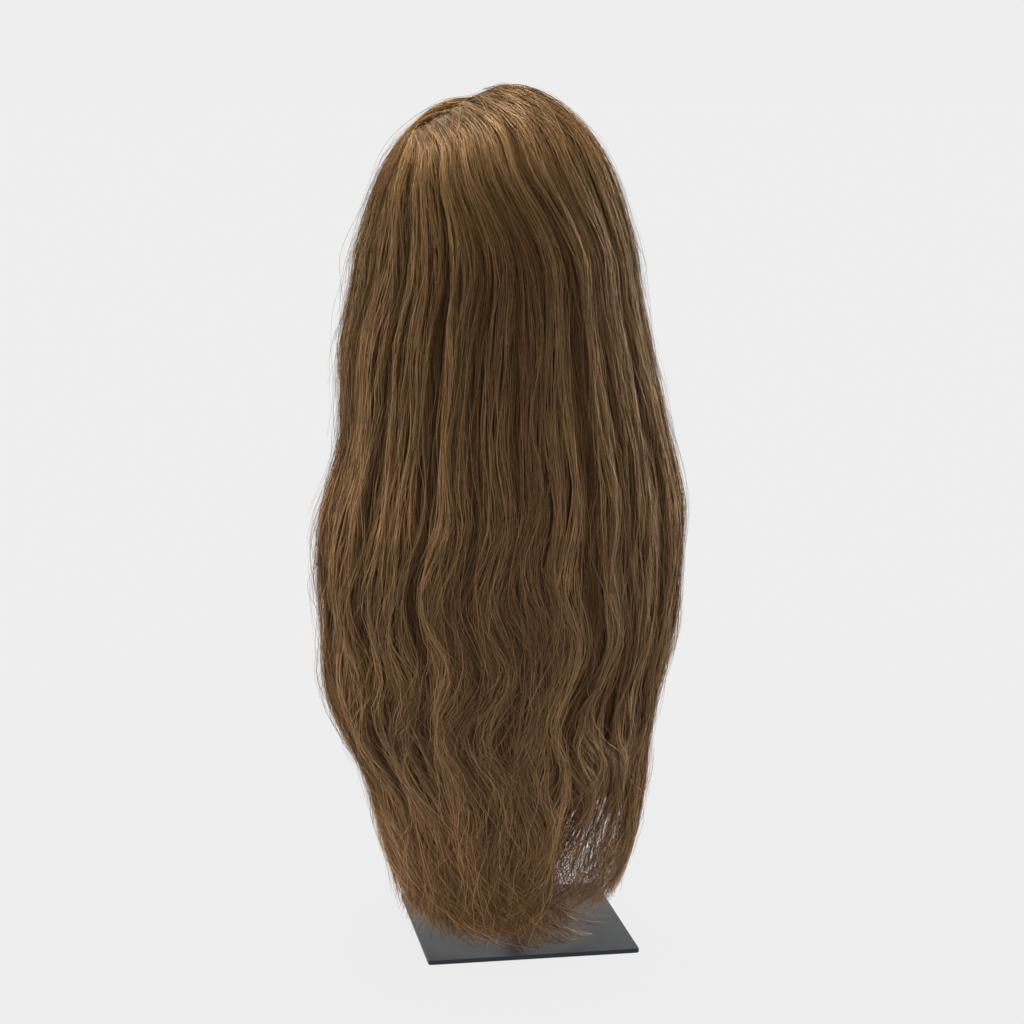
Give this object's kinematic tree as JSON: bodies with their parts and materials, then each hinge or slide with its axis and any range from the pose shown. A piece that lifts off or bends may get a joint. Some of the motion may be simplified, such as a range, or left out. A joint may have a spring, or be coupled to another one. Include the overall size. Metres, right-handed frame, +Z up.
{
  "type": "full lace wig on a display stand",
  "caption": "Very long wavy wig with a side parting on a hollow lace cap, worn on a plain post that rises from a square base plate.",
  "frame": {"origin": "centre of the underside of the base plate, on the surface the stand rests on", "axes": "+Z up along the post, -Y towards the back of the wig, +Y out of the face opening, +X to the wearer's right"},
  "size_m": [0.2696, 0.1996, 0.6138],
  "materials": {
    "stand_paint": "dark grey powder coat, semi-gloss",
    "lace": "fine brown net",
    "hair": "soft sheen along the strands"
  },
  "bodies": {
    "root": {"base_plate": "stand_paint", "post": "stand_paint", "lace_cap": "lace", "hair_front_left": "hair", "hair_side_left": "hair", "hair_back": "hair", "hair_side_right": "hair", "hair_front_right": "hair"}
  },
  "joints": []
}
